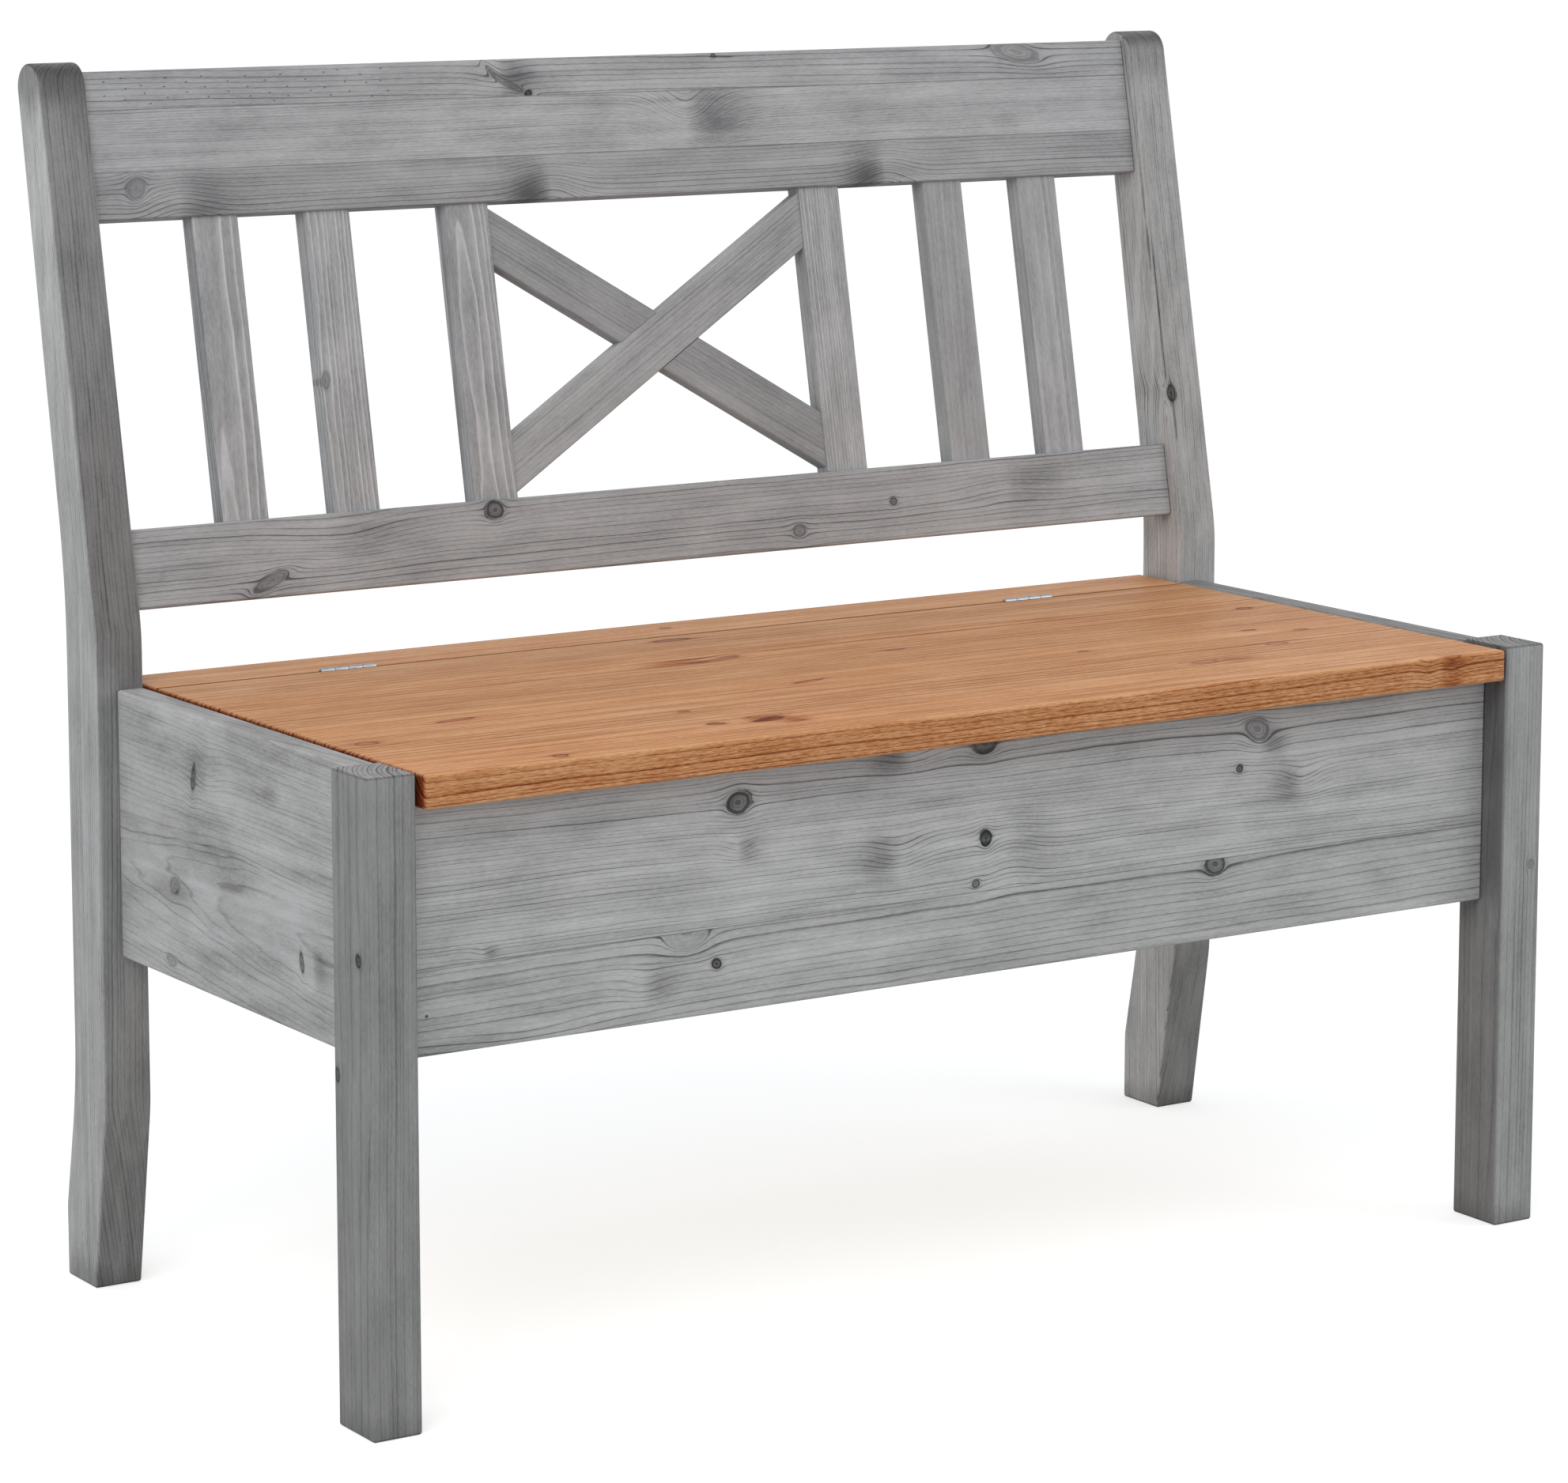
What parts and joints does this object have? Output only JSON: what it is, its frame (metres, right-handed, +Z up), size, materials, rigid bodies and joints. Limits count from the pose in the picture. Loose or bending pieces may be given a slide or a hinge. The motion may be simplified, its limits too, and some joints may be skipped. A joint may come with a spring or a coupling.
{
  "type": "storage bench",
  "caption": "Wooden storage bench with a slatted, leaning back with a cross in the middle, and a hinged seat lid over a boxed chest between four legs.",
  "frame": {"origin": "on the floor, in the middle of the bench's box", "axes": "+X to the bench's right as seen from the front, +Y to its rear, +Z up"},
  "size_m": [1.08, 0.5604, 0.955],
  "materials": {
    "grey_pine": "pine under a thin grey stain, grain and knots showing, matt",
    "oiled_pine": "pine with a honey-coloured oil, satin",
    "plain_pine": "planed pine, unfinished",
    "beech": "turned beech, unfinished",
    "zinc_steel": "steel with a bright zinc coat"
  },
  "bodies": {
    "frame": {"front_left_leg": "grey_pine", "front_right_leg": "grey_pine", "rear_left_post": "grey_pine", "rear_right_post": "grey_pine", "left_side_panel": "grey_pine", "right_side_panel": "grey_pine", "front_panel": "grey_pine", "rear_panel": "grey_pine", "bottom_panel": "plain_pine", "front_cleat": "plain_pine", "rear_cleat": "plain_pine", "left_cleat": "plain_pine", "right_cleat": "plain_pine", "lower_rail": "grey_pine", "top_rail": "grey_pine", "back_slat_1": "grey_pine", "back_slat_2": "grey_pine", "back_slat_3": "grey_pine", "back_slat_4": "grey_pine", "back_slat_5": "grey_pine", "back_slat_6": "grey_pine", "rising_brace": "grey_pine", "falling_brace": "grey_pine", "seat_strip": "oiled_pine", "left_hinge_frame_leaf": "zinc_steel", "right_hinge_frame_leaf": "zinc_steel", "left_hinge_pin": "zinc_steel", "right_hinge_pin": "zinc_steel", "side_panel_dowels": "beech", "cross_panel_dowels": "beech", "rail_dowels": "beech", "strip_dowels": "beech", "cleat_screws": "zinc_steel", "hinge_frame_screws": "zinc_steel"},
    "lid": {"lid": "oiled_pine", "left_batten": "plain_pine", "right_batten": "plain_pine", "left_hinge_lid_leaf": "zinc_steel", "right_hinge_lid_leaf": "zinc_steel", "hinge_lid_screws": "zinc_steel", "batten_screws": "zinc_steel"}
  },
  "joints": [
    {"name": "lid_hinge", "type": "hinge", "parent": "frame", "child": "lid", "pos_m": [0, 0.1468, 0.4795], "axis": [-1, 0, 0], "range_deg": [0, 102.5]}
  ]
}
